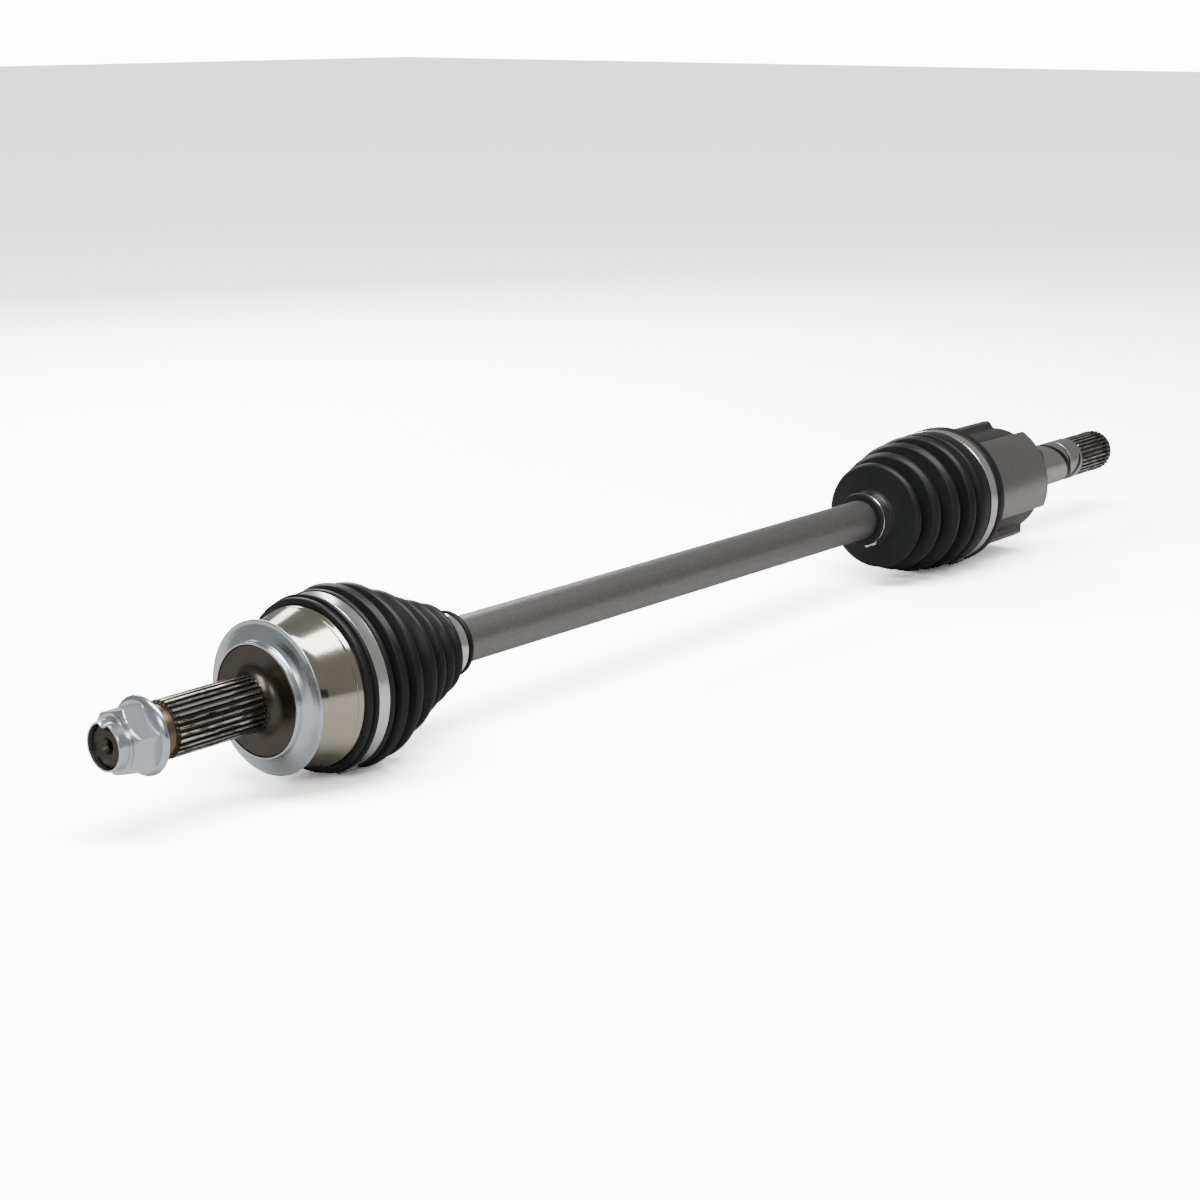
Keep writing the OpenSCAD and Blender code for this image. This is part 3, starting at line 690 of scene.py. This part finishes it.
class HALFSHAFT_OT_wheel_boot(bpy.types.Operator):
    """Models the wheel joint's boot in four stretches, one for each hinge"""

    bl_idname = "half_shaft.wheel_boot"
    bl_label = "Wheel joint boot"

    def execute(self, context):
        wall = sizes().boot_wall
        seat = BELL_R + 0.25
        lip = [(WHEEL_LIP, 42.1), (WHEEL_LIP, 43.6), (33.8, 44.9), (35.6, 45.2), (36.4, 43.9),
               (37.0, 43.9), (37.6, 45.9), (38.8, 46.3), (39.4, 45.8), (39.5, 44.7),
               (47.1, 44.7), (47.4, 46.2)]
        first = lip + between(WHEEL_FOLDS, 49, 58)
        inner = [(33.1, 41.9), (36.0, 42.4), (37.6, seat), (MOUTH + 0.3, seat),
                 (52.4, 41.5 - wall), (57.6, 48.2 - wall)]
        sections = [
            ("wheel_boot_mouth", boot_section("wheel_boot_mouth", first, 0.8, wall, inner),
             "bottom_ball", "wheel_bell", *WHEEL_BENDS[3:5]),
            ("wheel_boot_wide_fold", boot_section(
                "wheel_boot_wide_fold", between(WHEEL_FOLDS, 57, 79), 1.1, wall),
             "cage", "bottom_ball", *WHEEL_BENDS[2:4]),
            ("wheel_boot_middle_fold", boot_section(
                "wheel_boot_middle_fold", between(WHEEL_FOLDS, 77, 105), 1.0, wall),
             "top_ball", "cage", *WHEEL_BENDS[1:3]),
        ]
        neck = between(WHEEL_FOLDS, 104, 130) + [
            (127.4, 16.3), (135.2, 16.3), (135.6, 18.0), (137.4, 18.2), (138.0, 17.2),
            (WHEEL_TAIL, BAR_R + 0.15)]
        neck_in = [(104.5, 23.6 - wall), (110, 27.0), (115.5, 18.6),
                   (120.5, 23.0), (126.4, BAR_R + 0.15),
                   (WHEEL_TAIL - 0.1, BAR_R + 0.12)]
        sections.append(("wheel_boot_neck", boot_section(
            "wheel_boot_neck", neck, 1.0, wall, neck_in), "shaft", "top_ball", *WHEEL_BENDS[0:2]))
        for _, piece, near, far, start, end in sections:
            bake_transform(piece)
            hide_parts("wheel_boot")
        return {"FINISHED"}


class HALFSHAFT_OT_gearbox_boot(bpy.types.Operator):
    """Models the gearbox joint's boot in three stretches, one for each joint"""

    bl_idname = "half_shaft.gearbox_boot"
    bl_label = "Gearbox joint boot"

    def execute(self, context):
        wall = sizes().boot_wall
        seat = 44.6
        neck = [(GEAR_TAIL, BAR_R + 0.15), (GEAR_TAIL, 16.6), (534.1, 17.6), (535.6, 17.6),
                (536.0, 16.2), (545.9, 16.2), (546.5, 17.2)]
        neck += between(GEARBOX_FOLDS, 547, 571)
        neck_in = [(533.5, BAR_R + 0.12), (548.6, BAR_R + 0.15), (550.6, 24.5),
                   (553.0, 33.2), (563.0, 26.5 - wall), (566.6, 37.6),
                   (570.6, 39.6 - wall)]
        mouth = between(GEARBOX_FOLDS, 584, 618) + [
            (623.4, 46.2), (624.2, 45.4), (633.3, 45.4), (633.8, 47.2), (636.5, 47.6),
            (GEAR_LIP - 0.9, 47.3), (GEAR_LIP, 46.3), (GEAR_LIP, seat)]
        mouth_in = [(585, 44.2 - wall), (588.4, 41.8), (598, 33.0 - wall),
                    (602.0, 44.0), (605.2, 44.2), (611.0, 39.5 - wall), (HOUSING - 0.5, seat),
                    (GEAR_LIP - 0.1, seat)]
        pieces = [
            (boot_section("gearbox_boot_neck", neck, 0.9, wall, neck_in),
             "shaft", "pivot_needles", *GEARBOX_BENDS[0:2]),
            (boot_section("gearbox_boot_middle_fold", between(GEARBOX_FOLDS, 570, 586), 1.1, wall),
             "pivot_needles", "gearbox_cuff", *GEARBOX_BENDS[1:3]),
            (boot_section("gearbox_boot_mouth", mouth, 1.0, wall, mouth_in),
             "gearbox_cuff", "gearbox_housing", *GEARBOX_BENDS[2:4]),
        ]
        for piece, near, far, start, end in pieces:
            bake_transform(piece)
            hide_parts("gearbox_boot")
        return {"FINISHED"}


def clamp_band(name, start, width, radius, ear_height, ear_turn):
    """A boot clamp: a band with rolled edges and its crimped ear"""
    ear_half = 3.4 / radius

    def form(along, r, angle):
        off = abs((angle - ear_turn + math.pi) % (2 * math.pi) - math.pi)
        if r < radius + 0.3 or off > ear_half * 1.5:
            return r
        rise = min(1.0, max(0.0, (ear_half * 1.5 - off) / (ear_half * 0.5)))
        waist = 1 - 0.35 * math.exp(-((off / ear_half) ** 2) * 6)
        return r + ear_height * rise * waist

    end = start + width
    outline = [(start, radius), (start, radius + 0.7), (start + 0.35, radius + 0.95),
               (start + 0.9, radius + 0.85), (end - 0.9, radius + 0.85),
               (end - 0.35, radius + 0.95), (end, radius + 0.7), (end, radius)]
    return revolve(name, outline, [(9999, "stainless band")], steps=288, form=form)


class HALFSHAFT_OT_clamps(bpy.types.Operator):
    """Models the four stainless boot clamps"""

    bl_idname = "half_shaft.clamps"
    bl_label = "Boot clamps"

    def execute(self, context):
        ear_turn = math.radians(-112)
        for node, body, radius in (("wheel_boot_big_clamp", "wheel_bell", 44.75),
                                   ("wheel_boot_small_clamp", "shaft", 16.35),
                                   ("gearbox_boot_big_clamp", "gearbox_housing", 45.5),
                                   ("gearbox_boot_small_clamp", "shaft", 16.25)):
            low, high = (corner[0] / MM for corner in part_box(node))
            if node == "gearbox_boot_small_clamp":
                low, high = 536.5, 545.4
            piece = clamp_band(node + "_band", low, high - low, radius, 1.9, ear_turn)
            settle(piece, body, "clamp_steel", node)
        return {"FINISHED"}


class HALFSHAFT_OT_bar(bpy.types.Operator):
    """Models the solid bar between the joints"""

    bl_idname = "half_shaft.bar"
    bl_label = "Bar"

    def execute(self, context):
        teeth = 26

        def form(along, radius, angle):
            if radius < BAR_R - 0.4 and 11.8 < radius:
                return 11.75 + 0.75 * tooth(angle, teeth)
            return radius

        shoulder = [51.8, BAR[1] - 24.5]
        outline = [(BAR[0], 0), (BAR[0], 11), (BAR[0] + 0.8, 11.9), (shoulder[0], 11.9),
                   (shoulder[0], BAR_R - 0.3), (shoulder[0] + 0.5, BAR_R)]
        outline += spaced(shoulder[0] + 1, shoulder[1] - 1, BAR_R, 12)
        outline += [(shoulder[1] - 0.5, BAR_R), (shoulder[1], BAR_R - 0.3), (shoulder[1], 11.9),
                    (BAR[1] - 0.8, 11.9), (BAR[1], 11), (BAR[1], 0)]
        piece = revolve("bar_shaft", outline, [(9999, "satin bar steel")], steps=208,
                        form=form, closed=False)
        settle(piece, "shaft", "bar_steel", "axle_bar")
        return {"FINISHED"}


class HALFSHAFT_OT_housing(bpy.types.Operator):
    """Models the tripod housing with its oil-grooved journal and splines"""

    bl_idname = "half_shaft.housing"
    bl_label = "Tripod housing"

    def execute(self, context):
        s = sizes()
        end = 711.5
        journal_end = 812.0
        half_lobe = math.radians(39.5)
        flank = math.radians(7.0)
        first_lobe = math.radians(159)

        def lobe(angle):
            """Radius of the housing's outside, as a share of the lobe's"""
            off = abs((angle - first_lobe + math.pi / 3) % (2 * math.pi / 3) - math.pi / 3)
            t = min(1.0, max(0.0, (off - half_lobe) / flank))
            return 1 - (1 - s.valley_r / LOBE_R) * t * t * (3 - 2 * t)

        def groove(along, angle):
            """Depth of the two crossed oil grooves and the ring groove"""
            depth = 0.0
            if end + 7 < along < journal_end - 3:
                for way in (1, -1):
                    phase = (along - end) / s.groove_pitch * way - angle / (2 * math.pi) + 0.15
                    off = abs((phase + 0.5) % 1.0 - 0.5) * s.groove_pitch
                    depth = max(depth, 1 - (off / 3.4) ** 2)
            return max(0.0, depth) * s.groove_depth

        def form(along, radius, angle):
            if along <= end + 0.01 and radius > 19:
                share = min(1.0, (radius - 19) / 14)
                if radius < 36 and along < end - 1:
                    return min(radius, LOBE_R * lobe(angle) - 5.0)
                return radius * (1 - share + share * lobe(angle))
            if end + 3 < along < journal_end - 1:
                return radius - groove(along, angle)
            if along > journal_end and 13 < radius < 14.2:
                lift = min(1.0, (along - journal_end) / 1.4, (AXLE_END - 0.4 - along) / 2.2)
                return 13.6 + 1.25 * tooth(angle, s.gear_teeth) * max(0.0, lift)
            return radius

        outline = [(HOUSING, 35.3), (HOUSING, LOBE_R - 0.6), (HOUSING + 0.6, LOBE_R)]
        outline += [(660, LOBE_R), (end - 2.4, LOBE_R), (end - 1.6, LOBE_R - 0.3),
                    (end - 0.3, LOBE_R - 1.9), (end, LOBE_R - 3.0), (end, 34), (end, 26),
                    (end, 19.4)]
        outline += quarter(end + 2.6, 17.9, 2.7, 180, 270, 6)
        outline += spaced(end + 4, journal_end - 21.4, JOURNAL_R, 150)
        outline += [(journal_end - 21.0, 14.6), (journal_end - 19.2, 14.6),
                    (journal_end - 18.8, JOURNAL_R)]
        outline += spaced(journal_end - 18, journal_end - 2, JOURNAL_R, 32)
        outline += [(journal_end - 1.0, JOURNAL_R),
                    (journal_end, 14.2), (journal_end + 0.1, 13.6)]
        outline += [(journal_end + 0.7, 13.6), (journal_end + 1.5, 13.6), (830, 13.6),
                    (849.4, 13.6), (849.45, 12.9), (851.3, 12.9), (851.35, 13.6),
                    (AXLE_END - 2.6, 13.6), (AXLE_END - 1.2, 13.6), (AXLE_END - 0.4, 13.4),
                    (AXLE_END, 12.6), (AXLE_END, 4), (AXLE_END, 0)]
        cavity = [(696.0, 0), (696.0, 20), (696.0, 35.3)]
        piece = revolve("housing_and_stub", cavity + outline,
                        [(end + 0.02, "lobed housing steel"), (journal_end, "journal steel"),
                         (9999, "gearbox spline steel")],
                        steps=s.gear_teeth * 12, form=form, closed=False)
        settle(piece, "gearbox_housing", "forged_steel", "tripod_housing")
        return {"FINISHED"}


class HALFSHAFT_OT_inner_pieces(bpy.types.Operator):
    """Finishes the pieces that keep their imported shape"""

    bl_idname = "half_shaft.inner_pieces"
    bl_label = "Inner pieces"

    def execute(self, context):
        by_slot = {
            "zinc_plate": "zinc plate", "machined_steel": "turned bell steel",
            "hardened_steel": "hardened steel", "race_steel": "ground race steel",
            "black_oxide": "black oxide", "boot_rubber": "boot rubber",
            "clamp_steel": "stainless band", "bar_steel": "satin bar steel",
            "forged_steel": "lobed housing steel",
        }
        for entry in frame["record"]["subparts"]:
            node = frame["nodes"][entry["node"]]
            made = finish(by_slot[entry["material_slot"]])
            if not node.material_slots:
                node.data.materials.append(made)
            for slot in node.material_slots:
                slot.material = made
        return {"FINISHED"}


def area_light(name, place, target, size, power, shape_ratio=1.0):
    data = bpy.data.lights.new(name, "AREA")
    data.shape = "RECTANGLE"
    data.size = size
    data.size_y = size * shape_ratio
    data.energy = power
    light = bpy.data.objects.new(name, data)
    bpy.context.scene.collection.objects.link(light)
    light.location = place
    light.rotation_euler = (Vector(target) - Vector(place)).to_track_quat("-Z", "Y").to_euler()
    return light


def card(name, place, target, width, height, tone):
    """A flat card beside the object, for the metal to reflect"""
    bpy.ops.object.select_all(action="DESELECT")
    bpy.ops.mesh.primitive_plane_add(size=1.0)
    board = bpy.context.object
    board.name = name
    board.scale = (width, height, 1)
    board.location = place
    board.rotation_euler = (Vector(target) - Vector(place)).to_track_quat("Z", "Y").to_euler()
    material = new_material(name, 0.0)
    surface(material).inputs["Base Color"].default_value = (tone, tone, tone, 1)
    surface(material).inputs["Roughness"].default_value = 0.9
    board.data.materials.append(material)
    board.visible_camera = False
    board.visible_shadow = False
    board.visible_diffuse = False
    board.select_set(False)
    return board


class HALFSHAFT_OT_stage(bpy.types.Operator):
    """Sets the pale floor, the soft lights and the camera"""

    bl_idname = "half_shaft.stage"
    bl_label = "Stage"

    def execute(self, context):
        scene = context.scene
        camera = bpy.data.objects.new("camera", bpy.data.cameras.new("camera"))
        scene.collection.objects.link(camera)
        camera.data.lens = 69.1
        camera.data.sensor_width = 36.0
        camera.data.clip_end = 50.0
        camera.location = (-0.7235, -0.817, 0.329)
        camera.rotation_euler = Euler((math.radians(90 - 14.451), 0, math.radians(39.61 - 90)))
        scene.camera = camera

        bpy.ops.object.select_all(action="DESELECT")
        bpy.ops.mesh.primitive_plane_add(size=24.0, location=(0.4, 0, CAD_BOX[0][2] - 0.0004))
        floor = context.object
        floor.name = "floor"
        paint = new_material("pale floor", 0.0)
        surface(paint).inputs["Roughness"].default_value = 1.0
        surface(paint).inputs["Specular IOR Level"].default_value = 0.0
        seen = paint.node_tree.nodes.new("ShaderNodeLightPath").outputs["Is Camera Ray"]
        feed(paint, "Base Color", mix(paint, seen, (0.5, 0.5, 0.5), (6.5, 6.5, 6.5)))
        floor.data.materials.append(paint)
        floor.select_set(False)

        world = bpy.data.worlds.new("studio")
        world.use_nodes = True
        back = world.node_tree.nodes["Background"]
        back.inputs[0].default_value = (1, 1, 1, 1)
        seen = world.node_tree.nodes.new("ShaderNodeLightPath").outputs["Is Camera Ray"]
        strength = world.node_tree.nodes.new("ShaderNodeMapRange")
        strength.inputs["To Min"].default_value = 0.3
        strength.inputs["To Max"].default_value = 14.0
        world.node_tree.links.new(seen, strength.inputs["Value"])
        world.node_tree.links.new(strength.outputs[0], back.inputs[1])
        scene.world = world

        middle = (0.3, 0, 0)
        area_light("key", (0.0, -0.25, 1.3), middle, 1.5, 30, 0.35)
        area_light("rim", (0.9, 1.2, 0.9), middle, 1.2, 14, 0.4)
        area_light("front", (-1.5, -0.9, 0.9), (0.0, 0, 0), 0.7, 9, 0.6)
        card("dark card low", (-0.35, -0.9, 0.02), (0.03, 0, 0), 0.7, 0.3, 0.02)
        card("dark card side", (-0.75, 0.25, 0.25), (0.03, 0, 0), 0.28, 0.5, 0.03)
        return {"FINISHED"}


OPERATORS = (
    HALFSHAFT_OT_stage, HALFSHAFT_OT_inner_pieces, HALFSHAFT_OT_bell, HALFSHAFT_OT_nut,
    HALFSHAFT_OT_dust_ring, HALFSHAFT_OT_wheel_boot, HALFSHAFT_OT_gearbox_boot,
    HALFSHAFT_OT_clamps, HALFSHAFT_OT_bar, HALFSHAFT_OT_housing,
)


class HALFSHAFT_PT_panel(bpy.types.Panel):
    """Lists the half shaft's pieces in the sidebar"""

    bl_idname = "HALFSHAFT_PT_panel"
    bl_label = "Half shaft"
    bl_space_type = "VIEW_3D"
    bl_region_type = "UI"
    bl_category = "Half shaft"

    def draw(self, context):
        for group in (context.scene.half_shaft_sizes, context.scene.half_shaft_colours):
            for name in group.bl_rna.properties.keys():
                if name not in ("rna_type", "name"):
                    self.layout.prop(group, name)
        for operator in OPERATORS:
            self.layout.operator(operator.bl_idname)


CLASSES = (HalfShaftSizes, HalfShaftColours, *OPERATORS, HALFSHAFT_PT_panel)


def register():
    for cls in CLASSES:
        bpy.utils.register_class(cls)
    bpy.types.Scene.half_shaft_sizes = PointerProperty(type=HalfShaftSizes)
    bpy.types.Scene.half_shaft_colours = PointerProperty(type=HalfShaftColours)


def unregister():
    del bpy.types.Scene.half_shaft_colours
    del bpy.types.Scene.half_shaft_sizes
    for cls in reversed(CLASSES):
        bpy.utils.unregister_class(cls)


def main():
    register()
    bpy.ops.half_shaft.stage()
    bpy.ops.half_shaft.inner_pieces()
    bpy.ops.half_shaft.bell()
    bpy.ops.half_shaft.nut()
    bpy.ops.half_shaft.dust_ring()
    bpy.ops.half_shaft.wheel_boot()
    bpy.ops.half_shaft.gearbox_boot()
    bpy.ops.half_shaft.clamps()
    bpy.ops.half_shaft.bar()
    bpy.ops.half_shaft.housing()


if __name__ == "__main__":
    main()
